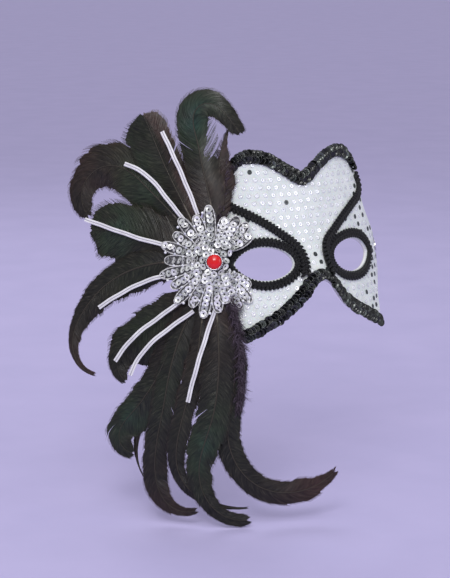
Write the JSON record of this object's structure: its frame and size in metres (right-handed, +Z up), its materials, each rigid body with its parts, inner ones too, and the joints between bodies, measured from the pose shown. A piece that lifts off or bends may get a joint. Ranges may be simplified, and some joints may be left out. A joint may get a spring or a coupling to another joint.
{
  "type": "venetian masquerade mask",
  "caption": "Half-face masquerade mask of white glitter fabric with black braid and sequin trim, a silver flower with a red gem, and a side spray of curled black feathers.",
  "frame": {"origin": "back of the lining on the nose line, midway between the eyes, where the mask seats on the bridge of the nose", "axes": "+X to the wearer's left, +Y into the wearer's face (the front of the mask looks along -Y), +Z up with the mask upright"},
  "size_m": [0.2095, 0.1339, 0.2715],
  "materials": {
    "shell": "moulded white plastic, cut edges left bare",
    "glitter_fabric": "white glitter fabric with round foil dots",
    "lining_felt": "off-white felt",
    "gimp_braid": "black gimp braid with a slight sheen",
    "black_sequins": "black cupped sequins",
    "eyelet_metal": "plated eyelet",
    "base_felt": "black felt",
    "glue": "set hot glue",
    "quill": "bare feather quill",
    "applique_net": "grey net backing",
    "silver_sequins": "cupped silver sequins",
    "bullion": "twisted silver bullion thread",
    "gem_metal": "bright plated setting",
    "red_gem": "polished red acrylic cabochon",
    "feather": "black cock feather with green sheen and brown edges",
    "marabou": "purple-black down",
    "satin": "white satin ribbon"
  },
  "bodies": {
    "mask": {"mask_shell": "shell", "fabric_cover": "glitter_fabric", "lining": "lining_felt", "eye_braid_left": "gimp_braid", "eye_braid_right": "gimp_braid", "brow_braid_left": "gimp_braid", "brow_braid_right": "gimp_braid", "top_sequin_trim": "black_sequins", "lower_sequin_trim": "black_sequins", "eyelet_left": "eyelet_metal", "eyelet_right": "eyelet_metal", "felt_base": "base_felt", "glue_core": "glue", "quill_roots": "quill", "applique_backing": "applique_net", "applique_sequins": "silver_sequins", "bullion_cord": "bullion", "gem_setting": "gem_metal", "red_gem": "red_gem"},
    "crest_plumes": {"crest_feather_1": "feather", "crest_feather_2": "feather", "tuft_upper": "marabou"},
    "side_plumes": {"side_feather_1": "feather", "side_feather_2": "feather", "side_feather_3": "feather", "side_feather_4": "feather", "satin_strip_1": "satin", "satin_strip_2": "satin", "satin_strip_3": "satin", "satin_strip_4": "satin"},
    "tail_plumes": {"tail_feather_1": "feather", "tail_feather_2": "feather", "tail_feather_3": "feather", "tail_feather_4": "feather", "tail_feather_5": "feather", "tail_feather_6": "feather", "tail_feather_7": "feather", "satin_strip_5": "satin", "satin_strip_6": "satin", "satin_strip_7": "satin", "tuft_lower": "marabou"}
  },
  "joints": [
    {"name": "crest_bend", "type": "hinge", "parent": "mask", "child": "crest_plumes", "pos_m": [-0.06309, 0.02545, 0.04117], "axis": [0.7631, -0.6416, 0.0777], "range_deg": [-2, 12], "stiffness_Nm_per_rad": 0.06},
    {"name": "side_bend", "type": "hinge", "parent": "mask", "child": "side_plumes", "pos_m": [-0.08589, 0.04655, 0.02087], "axis": [0.4083, -0.2808, 0.8686], "range_deg": [-2, 12], "stiffness_Nm_per_rad": 0.06},
    {"name": "tail_bend", "type": "hinge", "parent": "mask", "child": "tail_plumes", "pos_m": [-0.07689, 0.01664, -0.03411], "axis": [-0.659, 0.7314, 0.1757], "range_deg": [-2, 12], "stiffness_Nm_per_rad": 0.06}
  ]
}
